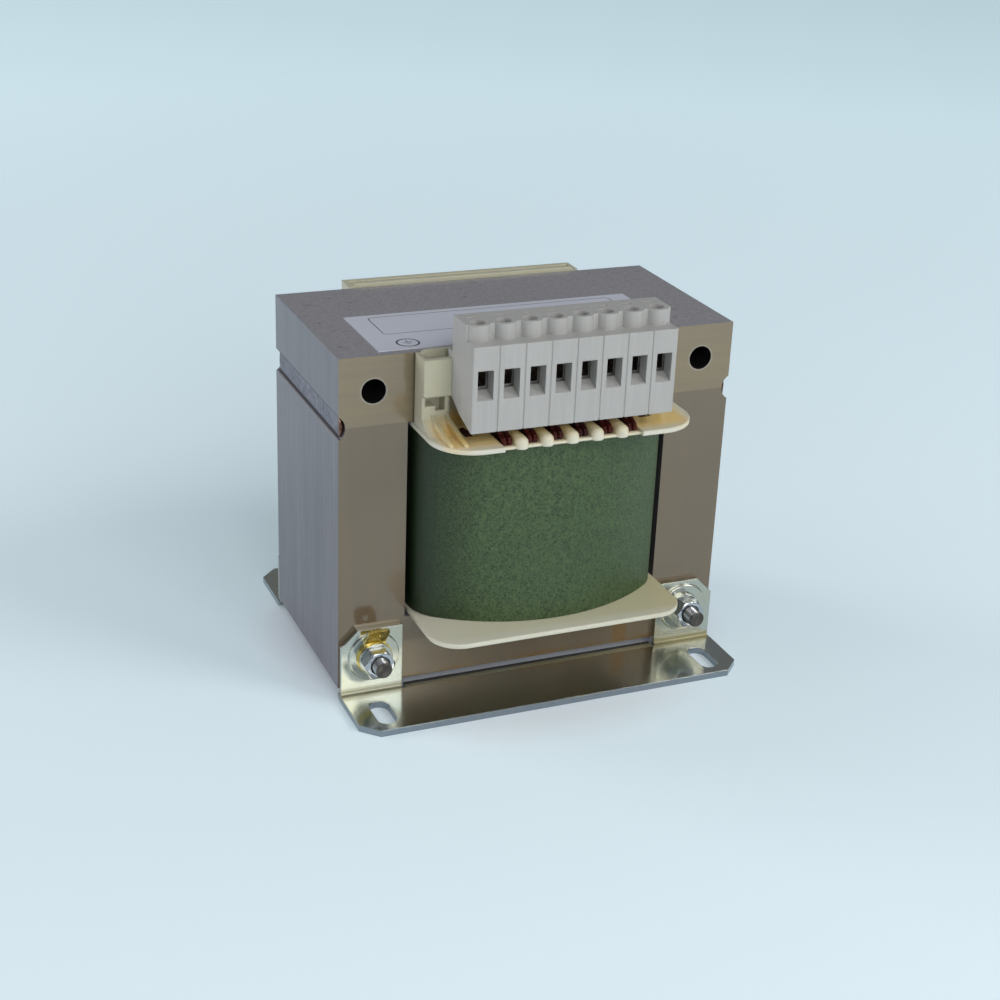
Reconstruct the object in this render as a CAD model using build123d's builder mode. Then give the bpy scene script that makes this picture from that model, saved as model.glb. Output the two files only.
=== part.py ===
from build123d import *
from math import cos, radians, sin, sqrt
import os

os.makedirs("parts", exist_ok=True)

# Frame: X across the core, Y from the front (minus) to the rear, Z up.
# The origin is on the ground, under the middle of the core.

# Core sheets: every limb is one unit wide, the middle limb is two
unit = 20.0
stack = 61.0
bolt_hole_r = 3.5
notch_r = 4.0
notch_depth = 2.0

# Weld seams in the side notches
weld_r = 20.0
weld_below_side = 0.35
weld_short_of_end = 0.8
weld_fit = 0.02

# Feet
sheet = 2.0
core_lift = 1.5
foot_reach = 24.1
foot_corner = 5.0
tab_w = 18.5
tab_inset = 0.3
tab_h = 20.2
tab_corner = 5.0
relief_w = 1.0
bend_r = 0.8
pad_r = 7.6
pad_rise = 0.8
slot_w = 5.8
slot_length = 12.8
slot_from_side = 8.7
slot_to_edge = 3.0
same_place = 0.01

# Bolts, nuts and washers
bolt_r = 2.5
bolt_hole_clearance = 0.4
nut_af = 8.0
nut_h = 4.0
head_h = 3.5
thread_fit = 0.02
washer_r = 5.0
washer_t = 1.0
bolt_end_out = 3.2
bolt_tip = 0.8

# Earth tab
ring_r = 5.3
tab_t = 0.8
blade_w = 6.3
blade_length = 7.6
blade_lean = 38.0
blade_hole_r = 0.85
blade_tip = 1.2
blade_root = 5.3

# Coil former
former_clearance = 0.25
tube_wall = 1.5
flange_t = 1.4
lower_flange_gap = 0.65
upper_flange_gap = 0.25
flange_side_gap = 1.1
flange_reach = 25.1
upper_corner_r = 12.0
lower_corner_r = 9.0
flange_edge_r = 0.3

# Comb in the flange, one slot for each terminal
terminals = 8
pitch = 7.5
comb_slot_w = 3.6
comb_slot_front = 22.2
end_slot_front = 14.5
comb_slot_back = 6.5
lip_setback = 1.6
lip_down = 0.6
finger_back = 5.0
finger_out = 1.1
finger_rise = 1.8
finger_round = 1.7

# Terminal rail
rail_x = -0.8
rail_half = 37.7
rail_core_gap = 0.8
rail_plate_t = 1.5
rail_h = 21.3
rail_corner_r = 3.5
panel_front = 8.3
panel_t = 1.8
panel_edge_r = 0.7
panel_bottom_up = 9.9
panel_below_top = 0.8
rail_wall = 1.5
end_wall_t = 1.0
ledge_up = 6.7
ledge_t = 1.4
web_below_panel = 1.4
rib_t = 1.2
rib_bend_up = 4.2
rib_shoulder_up = 3.05
rib_shoulder_reach = 10.0
rib_end_up = 0.6
rib_end_slope = 0.9
outer_rib_inset = 3.4
outer_rib_reach = 20.2
inner_rib_inset = 7.3
inner_rib_reach = 21.2
ramp_up = 3.2
ramp_reach = 12.5

# Coil
coil_half_w = 38.2
coil_reach = 17.9
coil_bulge_over = 7.6
coil_corner_r = 12.0
coil_end_gap = 0.15
wrap_t = 1.2
series_depth = 6.8
insulation_t = 0.5

# Terminal modules, clipped on the rail
block_x = -0.8
block_clearance = 0.1
block_depth = 14.9
block_drop = 16.3
belly_drop = 13.8
belly_depth = 6.4
heel_drop = 10.4
ledge_rise = 7.8
tower_rise = 4.5
ledge_depth = 5.6
seam = 0.25
tower_r = 3.45
tower_from_back = 7.8
tower_bore_r = 2.15
hook_t = 2.0
hook_nose = 0.9
mark_w = 4.4
mark_depth = 1.2
mark_t = 0.8
mark_from_back = 3.6

# Wire mouth of a module
mouth_w = 4.5
mouth_h = 8.3
mouth_rise = 1.1
mouth_depth = 4.3
mouth_slope = 1.8

# Clamp inside a module
cage_w = 5.0
cage_depth = 5.6
cage_h = 9.0
cage_wall = 0.8
cage_clearance = 0.15
cage_drop = 4.2
cage_lift = 0.8
bar_w = 3.2
bar_t = 1.0
bar_below_top = 3.2
bar_gap = 0.2
tail_w_gap = 0.6
tail_reach = 2.8
screw_r = 1.5
screw_head_r = 2.0
screw_head_h = 1.8
screw_head_down = 4.2
driver_slot_w = 0.6
driver_slot_depth = 0.9

# Leads
lead_r = 0.75
lead_gap = 0.1
lead_under_wrap = 1.5
lead_over_coil = 0.1
lead_turn_up = 1.35
lead_joint = 1.6

# Label
label_w = 88.4
label_d = 31.0
label_t = 0.2
label_x = -3.6
label_from_front = 2.8

# Levels and planes worked out from the sizes
front = -stack / 2
core_w = 6 * unit
core_z = sheet + core_lift
joint_z = core_z + 4 * unit
top_z = core_z + 5 * unit
bolt_x = core_w / 2 - unit / 2
bolt_z = core_z + unit / 2
upper_hole_z = top_z - unit / 2
flange_low_z = core_z + unit + lower_flange_gap
flange_top_z = joint_z - upper_flange_gap
flange_half_w = 2 * unit - flange_side_gap
flange_half_d = stack / 2 + flange_reach
tube_in_w = 2 * unit + 2 * former_clearance
tube_in_d = stack + 2 * former_clearance
coil_low_z = flange_low_z + flange_t + coil_end_gap
coil_high_z = flange_top_z - flange_t - coil_end_gap
coil_half_d = stack / 2 + coil_reach
coil_bulge_r = coil_half_d + coil_bulge_over
slot_x = core_w / 2 - slot_from_side
rail_left_x = rail_x - rail_half
outer_rib_x = rail_left_x + outer_rib_inset
inner_rib_x = rail_left_x + inner_rib_inset
rail_top_z = flange_top_z + rail_h
panel_top_z = rail_top_z - panel_below_top
panel_bottom_z = flange_top_z + panel_bottom_up
plate_y = front - rail_core_gap
panel_y = front - panel_front
panel_back_y = panel_y + panel_t
block_back_y = panel_y - block_clearance
block_front_y = block_back_y - block_depth
tower_y = block_back_y - tower_from_back
tower_top_z = panel_top_z + ledge_rise + tower_rise
ledge_z = panel_top_z + ledge_rise
pad_y = front - sheet - pad_rise
terminal_places = [block_x + (i - (terminals - 1) / 2) * pitch for i in range(terminals)]


def save(part, name):
    part.label = name
    export_step(part, f"parts/{name}.step")


def sheets(low, high, with_windows):
    """Stack of punched sheets between two levels; each notch is shared at the joint."""
    with BuildPart() as made:
        with BuildSketch(Plane.XZ):
            with Locations((0, (low + high) / 2)):
                Rectangle(core_w, high - low)
            if with_windows:
                with Locations((-1.5 * unit, joint_z), (1.5 * unit, joint_z)):
                    Rectangle(unit, 6 * unit, mode=Mode.SUBTRACT)
            with Locations(
                (-bolt_x, bolt_z), (bolt_x, bolt_z), (-bolt_x, upper_hole_z), (bolt_x, upper_hole_z)
            ):
                Circle(bolt_hole_r, mode=Mode.SUBTRACT)
            notch_x = core_w / 2 + notch_r - notch_depth
            with Locations((-notch_x, joint_z), (notch_x, joint_z)):
                Circle(notch_r, mode=Mode.SUBTRACT)
        extrude(amount=stack / 2, both=True)
    return made.part


e_stack = sheets(core_z, joint_z, True)
i_stack = sheets(joint_z, top_z, False)
save(e_stack, "e_lamination_stack")
save(i_stack, "i_lamination_stack")


def weld(side):
    """Bead with a lens section, at the bottom of one side notch."""
    notch_x = side * (core_w / 2 + notch_r - notch_depth)
    bead_x = side * (core_w / 2 - weld_below_side - weld_r)
    with BuildPart() as bead:
        with BuildSketch(Plane.XZ):
            with Locations((notch_x, joint_z)):
                Circle(notch_r - weld_fit)
            with Locations((bead_x, joint_z)):
                Circle(weld_r, mode=Mode.INTERSECT)
        extrude(amount=stack / 2 - weld_short_of_end, both=True)
    return bead.part


save(weld(-1), "weld_left")
save(weld(1), "weld_right")

# Front foot: flat strip with two tabs bent up, each with a raised pad round its bolt
tab_x = core_w / 2 - tab_inset - tab_w / 2
tab_top_z = sheet + tab_h
with BuildPart() as front_foot:
    with BuildSketch():
        with Locations((0, front - foot_reach / 2)):
            Rectangle(core_w, foot_reach)
        corners = vertices().group_by(Axis.Y)[0]
        chamfer(corners, foot_corner)
        slot_y = front - foot_reach + slot_to_edge + slot_length / 2
        with Locations((-slot_x, slot_y), (slot_x, slot_y)):
            SlotOverall(slot_length, slot_w, rotation=90, mode=Mode.SUBTRACT)
        relief_x = tab_x - tab_w / 2 - relief_w / 2
        with Locations((-relief_x, front - sheet / 2), (relief_x, front - sheet / 2)):
            Rectangle(relief_w, sheet + 2 * bend_r, mode=Mode.SUBTRACT)
    extrude(amount=sheet)
    with BuildSketch(Plane.XZ.offset(-front)):
        with Locations((-tab_x, tab_top_z / 2), (tab_x, tab_top_z / 2)):
            Rectangle(tab_w, tab_top_z)
        outer_corners = [v for v in vertices() if v.Y > sheet and abs(v.X) > tab_x]
        chamfer(outer_corners, tab_corner)
    extrude(amount=sheet)
    inner_bends = [
        e for e in edges().filter_by(Axis.X)
        if abs(e.center().Z - sheet) < same_place and abs(e.center().Y - front + sheet) < same_place
    ]
    fillet(inner_bends, bend_r)
    outer_bends = [
        e for e in edges().filter_by(Axis.X)
        if abs(e.center().Z) < same_place
        and abs(e.center().Y - front) < same_place
        and abs(e.center().X) > relief_x
    ]
    fillet(outer_bends, bend_r + sheet / 2)
    with BuildSketch(Plane.XZ.offset(-front + sheet)):
        with Locations((-bolt_x, bolt_z), (bolt_x, bolt_z)):
            Circle(pad_r)
    extrude(amount=pad_rise)
    pad_rims = edges().filter_by(GeomType.CIRCLE).filter_by(
        lambda rim: abs(rim.radius - pad_r) < same_place
    ).group_by(Axis.Y)[0]
    fillet(pad_rims, pad_rise / 2)
    with BuildSketch(Plane.XZ.offset(-front)):
        with Locations((-bolt_x, bolt_z), (bolt_x, bolt_z)):
            Circle(pad_r - sheet / 2)
    extrude(amount=pad_rise, mode=Mode.SUBTRACT)
    with BuildSketch(Plane.XZ.offset(-front)):
        with Locations((-bolt_x, bolt_z), (bolt_x, bolt_z)):
            Circle(bolt_r + bolt_hole_clearance)
    extrude(amount=sheet + pad_rise, mode=Mode.SUBTRACT)
save(front_foot.part, "front_foot")
rear_foot = mirror(front_foot.part, about=Plane.XZ)
save(rear_foot, "rear_foot")

# Through bolts with their heads at the rear
head_y = -pad_y + washer_t
tip_y = pad_y - washer_t - tab_t - nut_h - bolt_end_out
bolt_axes = [(-bolt_x, bolt_z), (bolt_x, bolt_z)]
with BuildPart() as through_bolts:
    with BuildSketch(Plane.XZ.offset(-head_y)):
        with Locations(*bolt_axes):
            Circle(bolt_r)
    extrude(amount=head_y - tip_y)
    chamfer(edges().filter_by(GeomType.CIRCLE).group_by(Axis.Y)[0], bolt_tip)
    with BuildSketch(Plane.XZ.offset(-head_y - head_h)):
        with Locations(*bolt_axes):
            RegularPolygon(nut_af / 2, 6, major_radius=False, rotation=30)
    extrude(amount=head_h)
save(through_bolts.part, "through_bolts")


def ring(x, back_y, outer_r, inner_r, thickness):
    """Flat ring round a bolt, its rear face on back_y."""
    with BuildPart() as made:
        with BuildSketch(Plane.XZ.offset(-back_y)):
            with Locations((x, bolt_z)):
                Circle(outer_r)
                Circle(inner_r, mode=Mode.SUBTRACT)
        extrude(amount=thickness)
    return made.part


def nut(x, back_y):
    """Hexagon nut with its corners turned off at both ends."""
    corner_r = nut_af / 2 / cos(radians(30))
    turned = corner_r - nut_af / 2
    with BuildPart() as made:
        with BuildSketch(Plane.XZ.offset(-back_y)):
            with Locations((x, bolt_z)):
                RegularPolygon(nut_af / 2, 6, major_radius=False, rotation=30)
        extrude(amount=nut_h)
        with BuildSketch(Plane.YZ.offset(x)):
            with BuildLine():
                Polyline(
                    (back_y, bolt_z),
                    (back_y, bolt_z + nut_af / 2),
                    (back_y - turned, bolt_z + corner_r),
                    (back_y - nut_h + turned, bolt_z + corner_r),
                    (back_y - nut_h, bolt_z + nut_af / 2),
                    (back_y - nut_h, bolt_z),
                    close=True,
                )
            make_face()
        revolve(axis=Axis((x, 0, bolt_z), (0, 1, 0)), mode=Mode.INTERSECT)
        with BuildSketch(Plane.XZ.offset(-back_y)):
            with Locations((x, bolt_z)):
                Circle(bolt_r + thread_fit)
        extrude(amount=nut_h, mode=Mode.SUBTRACT)
    return made.part


washer_hole_r = bolt_r + bolt_hole_clearance / 2
left_seat_y = pad_y - tab_t
front_washers = Compound([
    ring(-bolt_x, left_seat_y, washer_r, washer_hole_r, washer_t),
    ring(bolt_x, pad_y, washer_r, washer_hole_r, washer_t),
])
save(front_washers, "front_washers")
rear_washers = Compound([ring(x, head_y, washer_r, washer_hole_r, washer_t) for x in (-bolt_x, bolt_x)])
save(rear_washers, "rear_washers")
hex_nuts = Compound([nut(-bolt_x, left_seat_y - washer_t), nut(bolt_x, pad_y - washer_t)])
save(hex_nuts, "hex_nuts")

# Earth tab: a ring on the left front bolt and a blade that leans outwards
root_z = bolt_z + blade_root
blade_plane = Plane(
    origin=(-bolt_x, pad_y, root_z), x_dir=(1, 0, 0),
    z_dir=(0, -cos(radians(blade_lean)), -sin(radians(blade_lean))),
)
with BuildPart() as earth_tab:
    with BuildSketch(Plane.XZ.offset(-pad_y)):
        with Locations((-bolt_x, bolt_z)):
            Circle(ring_r)
        with Locations((-bolt_x, bolt_z + blade_root / 2)):
            Rectangle(blade_w, blade_root)
        with Locations((-bolt_x, bolt_z)):
            Circle(washer_hole_r, mode=Mode.SUBTRACT)
    extrude(amount=tab_t)
    with BuildSketch(blade_plane):
        with Locations((0, blade_length / 2)):
            Rectangle(blade_w, blade_length)
        chamfer(vertices().group_by(Axis.Y)[-1], blade_tip)
        with Locations((0, blade_length * 0.55)):
            Circle(blade_hole_r, mode=Mode.SUBTRACT)
    extrude(amount=tab_t)
save(earth_tab.part, "earth_tab")


def rib(x, reach, high_z):
    """Web that falls straight in the panel's rear plane, bends, and slopes out along the flange."""
    with BuildPart() as made:
        with BuildSketch(Plane.YZ.offset(x - rib_t / 2)):
            with BuildLine():
                shoulder_y = front - rib_shoulder_reach
                bend_h = rib_bend_up - rib_shoulder_up
                ThreePointArc(
                    (panel_back_y, flange_top_z + rib_bend_up),
                    ((panel_back_y * 2 + shoulder_y) / 3, flange_top_z + rib_shoulder_up + bend_h * 0.4),
                    (shoulder_y, flange_top_z + rib_shoulder_up),
                )
                Polyline(
                    (shoulder_y, flange_top_z + rib_shoulder_up),
                    (front - reach, flange_top_z + rib_end_up),
                    (front - reach - rib_end_slope, flange_top_z),
                    (plate_y, flange_top_z),
                    (plate_y, high_z),
                    (panel_back_y, high_z),
                    (panel_back_y, flange_top_z + rib_bend_up),
                )
            make_face()
        extrude(amount=rib_t)
    return made.part


def apron(from_x, to_x, high_z):
    """Low wall under the panel's rear plane that runs out into a ramp on the flange."""
    with BuildPart() as made:
        with BuildSketch(Plane.YZ.offset(from_x)):
            with BuildLine():
                ramp_out = front - ramp_reach
                ramp_z = flange_top_z + ramp_up
                ThreePointArc(
                    (panel_back_y, ramp_z),
                    (panel_back_y + (ramp_out - panel_back_y) * 0.4, flange_top_z + ramp_up * 0.4),
                    (ramp_out, flange_top_z),
                )
                Polyline(
                    (ramp_out, flange_top_z),
                    (panel_back_y + end_wall_t, flange_top_z),
                    (panel_back_y + end_wall_t, high_z),
                    (panel_back_y, high_z),
                    (panel_back_y, ramp_z),
                )
            make_face()
        extrude(amount=to_x - from_x)
    return made.part


def web(x, high_z):
    """Plain web between the rail's rear plate and its front panel."""
    with BuildPart() as made:
        with BuildSketch(Plane.YZ.offset(x - rail_wall / 2)):
            with BuildLine():
                Polyline(
                    (plate_y, flange_top_z),
                    (plate_y, high_z),
                    (panel_y, high_z),
                    (panel_y, panel_bottom_z),
                    (plate_y - rail_plate_t - rail_wall, flange_top_z),
                    close=True,
                )
            make_face()
        extrude(amount=rail_wall)
    return made.part


# Front half of the former's rail and comb, standing on the upper flange
ledge_high_z = flange_top_z + ledge_up
ledge_w = outer_rib_x + rib_t / 2 - rail_left_x
with BuildPart() as rail:
    with BuildSketch(Plane.XZ.offset(-plate_y)):
        with Locations((rail_x, flange_top_z + rail_h / 2)):
            Rectangle(2 * rail_half, rail_h)
        fillet(vertices().group_by(Axis.Y)[-1], rail_corner_r)
    extrude(amount=rail_plate_t)
    with BuildSketch(Plane.XZ.offset(-panel_y)):
        with Locations((rail_x, (panel_top_z + panel_bottom_z) / 2)):
            Rectangle(2 * rail_half, panel_top_z - panel_bottom_z)
    extrude(amount=-panel_t)
    fillet(edges().filter_by(Axis.Z).group_by(Axis.Y)[0], panel_edge_r)
    with BuildSketch(Plane.YZ.offset(rail_left_x)):
        with Locations(((plate_y + panel_back_y) / 2, (panel_top_z + flange_top_z) / 2)):
            Rectangle(plate_y - panel_back_y, panel_top_z - flange_top_z)
    extrude(amount=end_wall_t)
    with BuildSketch(Plane.XY.offset(ledge_high_z)):
        with Locations((rail_left_x + ledge_w / 2, (plate_y + panel_back_y) / 2)):
            Rectangle(ledge_w, plate_y - panel_back_y)
    extrude(amount=-ledge_t)
    add(rib(outer_rib_x, outer_rib_reach, ledge_high_z))
    add(rib(inner_rib_x, inner_rib_reach, panel_bottom_z + rail_wall))
    add(apron(rail_left_x, inner_rib_x, ledge_high_z - ledge_t))
    for place in (-3 * pitch, -pitch, pitch, 3 * pitch):
        add(web(rail_x + place, panel_top_z - web_below_panel))
    add(web(rail_x + rail_half - rail_wall / 2, panel_top_z))

# Fingers of the comb, run over the lip in front
finger_w = pitch - comb_slot_w
lip_reach = flange_reach - lip_setback
finger_length = lip_reach + finger_out - finger_back
finger_y = front - finger_back - finger_length / 2
finger_count = terminals - 3
with BuildPart() as fingers:
    with BuildSketch(Plane.XY.offset(flange_top_z - flange_t)):
        with Locations((block_x, finger_y)):
            with GridLocations(pitch, 1, finger_count, 1):
                SlotOverall(finger_length, finger_w, rotation=90)
    extrude(amount=flange_t + finger_rise)
    fillet(edges().group_by(Axis.Z)[-1], finger_round)


def flange(low_z, corner_r):
    """Flange plate with rounded corners, closed round the middle limb."""
    with BuildPart() as made:
        with BuildSketch(Plane.XY.offset(low_z)):
            RectangleRounded(2 * flange_half_w, 2 * flange_half_d, corner_r)
        extrude(amount=flange_t)
        rims = edges().group_by(Axis.Z)
        fillet(rims[0] + rims[-1], flange_edge_r)
        with BuildSketch(Plane.XY.offset(low_z)):
            Rectangle(tube_in_w, tube_in_d)
        extrude(amount=flange_t, mode=Mode.SUBTRACT)
    return made.part


# Coil former: tube, two flanges, and the same rail and comb at the front and the rear.
# The two slots at the ends of the comb are short.
slot_fronts = [end_slot_front] + [comb_slot_front] * (terminals - 2) + [end_slot_front]
recess_w = (finger_count + 1) * pitch - finger_w
with BuildPart() as bobbin:
    with BuildSketch(Plane.XY.offset(flange_low_z)):
        Rectangle(tube_in_w + 2 * tube_wall, tube_in_d + 2 * tube_wall)
        Rectangle(tube_in_w, tube_in_d, mode=Mode.SUBTRACT)
    extrude(amount=flange_top_z - flange_low_z)
    add(flange(flange_low_z, lower_corner_r))
    add(flange(flange_top_z - flange_t, upper_corner_r))
    for side in (-1, 1):
        with BuildSketch(Plane.XY.offset(flange_top_z)):
            for x, slot_front in zip(terminal_places, slot_fronts):
                with Locations((-side * x, side * (stack / 2 + (slot_front + comb_slot_back) / 2))):
                    Rectangle(comb_slot_w, slot_front - comb_slot_back)
            with Locations((-side * block_x, side * (flange_half_d - lip_setback / 2))):
                Rectangle(recess_w, lip_setback)
        extrude(amount=-flange_t, mode=Mode.SUBTRACT)
        with BuildSketch(Plane.XY.offset(flange_top_z)):
            with Locations((-side * block_x, side * (stack / 2 + (comb_slot_front + lip_reach) / 2))):
                Rectangle(recess_w, lip_reach - comb_slot_front)
        extrude(amount=-lip_down, mode=Mode.SUBTRACT)
    add(fingers.part)
    add(fingers.part.rotate(Axis.Z, 180))
    add(rail.part)
    add(rail.part.rotate(Axis.Z, 180))
save(bobbin.part, "bobbin")


def coil_section(inset):
    """Section of the coil, inset from its outside: flat sides and bulged ends."""
    with BuildSketch() as made:
        Rectangle(2 * (coil_half_w - inset), 2 * (coil_half_d - inset))
        with Locations((0, coil_bulge_r - coil_half_d)):
            Circle(coil_bulge_r - inset, mode=Mode.INTERSECT)
        with Locations((0, coil_half_d - coil_bulge_r)):
            Circle(coil_bulge_r - inset, mode=Mode.INTERSECT)
        fillet(made.vertices(), coil_corner_r - inset)
    return made.sketch


def coil_layer(outer_inset, inner_inset):
    """Closed layer of the coil between two insets."""
    with BuildPart() as made:
        with BuildSketch(Plane.XY.offset(coil_low_z)):
            add(coil_section(outer_inset))
            add(coil_section(inner_inset), mode=Mode.SUBTRACT)
        extrude(amount=coil_high_z - coil_low_z)
    return made.part


series_in = wrap_t + series_depth
save(coil_layer(0, wrap_t), "outer_wrap")
save(coil_layer(wrap_t, series_in), "series_winding")
save(coil_layer(series_in, series_in + insulation_t), "layer_insulation")
with BuildPart() as common_winding:
    with BuildSketch(Plane.XY.offset(coil_low_z)):
        add(coil_section(series_in + insulation_t))
        Rectangle(tube_in_w + 2 * tube_wall, tube_in_d + 2 * tube_wall, mode=Mode.SUBTRACT)
    extrude(amount=coil_high_z - coil_low_z)
save(common_winding.part, "common_winding")

# Levels and planes inside a terminal module
hook_front_y = panel_back_y + block_clearance
hook_back_y = hook_front_y + hook_nose
cage_top_z = ledge_z - cage_drop
cage_low_z = cage_top_z - cage_h
cage_mid_y = tower_y
bar_top_z = cage_top_z - bar_below_top
mouth_top_z = panel_top_z + mouth_rise
tail_y = cage_mid_y + cage_depth / 2 + tail_w_gap
screw_top_z = tower_top_z - screw_head_down
belly_z = panel_top_z - belly_drop
tail_low_z = belly_z - tail_reach + lead_joint


def housing(x):
    """Moulded terminal module, its middle at x."""
    left = x - pitch / 2
    with BuildPart() as made:
        with BuildSketch(Plane.YZ.offset(left)):
            with BuildLine():
                Polyline(
                    (block_front_y, panel_top_z - block_drop),
                    (block_front_y, ledge_z),
                    (block_front_y + ledge_depth, ledge_z),
                    (block_front_y + ledge_depth, tower_top_z),
                    (block_back_y, tower_top_z),
                    (block_back_y, panel_top_z + block_clearance + hook_t),
                    (hook_back_y, panel_top_z + block_clearance + hook_t),
                    (hook_back_y, panel_top_z - hook_nose),
                    (hook_front_y, panel_top_z - hook_nose),
                    (hook_front_y, panel_top_z + block_clearance),
                    (block_back_y, panel_top_z + block_clearance),
                    (block_back_y, panel_top_z - heel_drop),
                    (block_back_y - belly_depth, belly_z),
                    close=True,
                )
            make_face()
        extrude(amount=pitch)
        seam_edges = edges().filter_by(Axis.Z).group_by(Axis.Y)[0]
        chamfer(seam_edges, seam)
        with BuildSketch(Plane.XY.offset(ledge_z)):
            with Locations((x, tower_y)):
                Circle(tower_r)
        extrude(amount=tower_rise)
        with BuildSketch(Plane.XY.offset(tower_top_z)):
            with Locations((x, tower_y)):
                Circle(tower_bore_r)
        extrude(amount=-(tower_top_z - cage_top_z), mode=Mode.SUBTRACT)
        with BuildSketch(Plane.XY.offset(tower_top_z)):
            with Locations((x, block_back_y - mark_from_back)):
                Rectangle(mark_w, mark_t)
        extrude(amount=-mark_depth, mode=Mode.SUBTRACT)
        with BuildSketch(Plane.XY.offset(cage_low_z - cage_clearance)):
            with Locations((x, cage_mid_y)):
                Rectangle(cage_w + 2 * cage_clearance, cage_depth + 2 * cage_clearance)
        extrude(amount=cage_h + cage_clearance + cage_lift, mode=Mode.SUBTRACT)
        with BuildSketch(Plane.YZ.offset(x - mouth_w / 2)):
            with BuildLine():
                inner_y = block_front_y + mouth_depth
                Polyline(
                    (block_front_y, mouth_top_z - mouth_h),
                    (inner_y, mouth_top_z - mouth_h + mouth_slope),
                    (inner_y, mouth_top_z),
                    (block_front_y, mouth_top_z),
                    close=True,
                )
            make_face()
        extrude(amount=mouth_w, mode=Mode.SUBTRACT)
        with BuildSketch(Plane.XY.offset(bar_top_z + cage_clearance)):
            slot_back_y = tail_y + bar_t + cage_clearance
            with Locations((x, (cage_mid_y + slot_back_y) / 2)):
                Rectangle(bar_w + 2 * cage_clearance, slot_back_y - cage_mid_y)
        extrude(amount=-(bar_top_z + cage_clearance - tail_low_z), mode=Mode.SUBTRACT)
    return made.part


def cage(x):
    """Clamp cage: a steel frame open along Y, tapped for the screw at its top."""
    with BuildPart() as made:
        with BuildSketch(Plane.XZ.offset(-cage_mid_y)):
            with Locations((x, (cage_top_z + cage_low_z) / 2)):
                Rectangle(cage_w, cage_h)
            window_low_z = cage_low_z + cage_wall
            window_top_z = bar_top_z + bar_gap
            with Locations((x, (window_low_z + window_top_z) / 2)):
                Rectangle(cage_w - 2 * cage_wall, window_top_z - window_low_z, mode=Mode.SUBTRACT)
        extrude(amount=cage_depth / 2, both=True)
        with BuildSketch(Plane.XY.offset(cage_top_z)):
            with Locations((x, cage_mid_y)):
                Circle(screw_r + thread_fit)
        extrude(amount=-bar_below_top, mode=Mode.SUBTRACT)
    return made.part


def contact_bar(x):
    """Flat copper bar: through the cage, then down behind it as a tail for the lead."""
    with BuildPart() as made:
        with BuildSketch(Plane.YZ.offset(x - bar_w / 2)):
            with BuildLine():
                start_y = cage_mid_y - cage_depth / 2
                Polyline(
                    (start_y, bar_top_z),
                    (tail_y + bar_t, bar_top_z),
                    (tail_y + bar_t, tail_low_z),
                    (tail_y, tail_low_z),
                    (tail_y, bar_top_z - bar_t),
                    (start_y, bar_top_z - bar_t),
                    close=True,
                )
            make_face()
        extrude(amount=bar_w)
    return made.part


def clamp_screw(x):
    """Slotted clamp screw; its tip presses on the contact bar."""
    with BuildPart() as made:
        with BuildSketch(Plane.XY.offset(bar_top_z)):
            with Locations((x, cage_mid_y)):
                Circle(screw_r)
        extrude(amount=screw_top_z - bar_top_z)
        with BuildSketch(Plane.XY.offset(screw_top_z)):
            with Locations((x, cage_mid_y)):
                Circle(screw_head_r)
        extrude(amount=-screw_head_h)
        with BuildSketch(Plane.XY.offset(screw_top_z)):
            with Locations((x, cage_mid_y)):
                Rectangle(2 * screw_head_r, driver_slot_w)
        extrude(amount=-driver_slot_depth, mode=Mode.SUBTRACT)
    return made.part


def lead(x, at_end):
    """One enamelled wire: up from the coil, forward in its comb slot, and back to the tail."""
    tail_front = tail_y - lead_r - thread_fit
    wire_r = coil_bulge_r - wrap_t - lead_under_wrap
    start_y = coil_bulge_over - sqrt(wire_r**2 - (abs(x) + lead_r) ** 2)
    run_z = coil_high_z + lead_r + lead_over_coil
    run_y = front - comb_slot_front + lead_r + lead_gap
    start = (x, start_y, coil_high_z)
    if at_end:
        run = [(x, tail_front, run_z)]
    else:
        run = [
            (x, run_y, run_z),
            (x, run_y, run_z + lead_turn_up),
            (x, tail_front, tail_low_z - lead_r),
        ]
    with BuildPart() as made:
        with BuildLine():
            path = Polyline(start, (x, start_y, run_z), *run, (x, tail_front, tail_low_z + lead_joint))
        with BuildSketch(Plane(origin=start, z_dir=(0, 0, 1))):
            Circle(lead_r)
        sweep(path=path, transition=Transition.RIGHT)
    return made.part


for number, x in enumerate(terminal_places, start=1):
    save(housing(x), f"terminal_housing_{number}")
    at_end = number in (1, terminals)
    wires = [x] if at_end else [x - lead_r - lead_gap / 2, x + lead_r + lead_gap / 2]
    save(Compound([lead(wire_x, at_end) for wire_x in wires]), f"tap_lead_{number}")
save(Compound([cage(x) for x in terminal_places]), "clamp_cages")
save(Compound([contact_bar(x) for x in terminal_places]), "contact_bars")
save(Compound([clamp_screw(x) for x in terminal_places]), "clamp_screws")

with BuildPart() as top_label:
    with BuildSketch(Plane.XY.offset(top_z)):
        with Locations((label_x, front + label_from_front + label_d / 2)):
            Rectangle(label_w, label_d)
    extrude(amount=label_t)
save(top_label.part, "top_label")
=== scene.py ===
# %% [markdown]
# # Autotransformer
# A welded EI core on two sheet-metal feet, a coil former with a rail of eight clamp terminals at
# the front, and the coil in its green wrapper. The solid model is the fixed frame: its sizes are
# final, so this lesson only adds finishes and the small forms that a solid model leaves plain,
# such as threads, weld ripples and smooth wires.

import math

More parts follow.
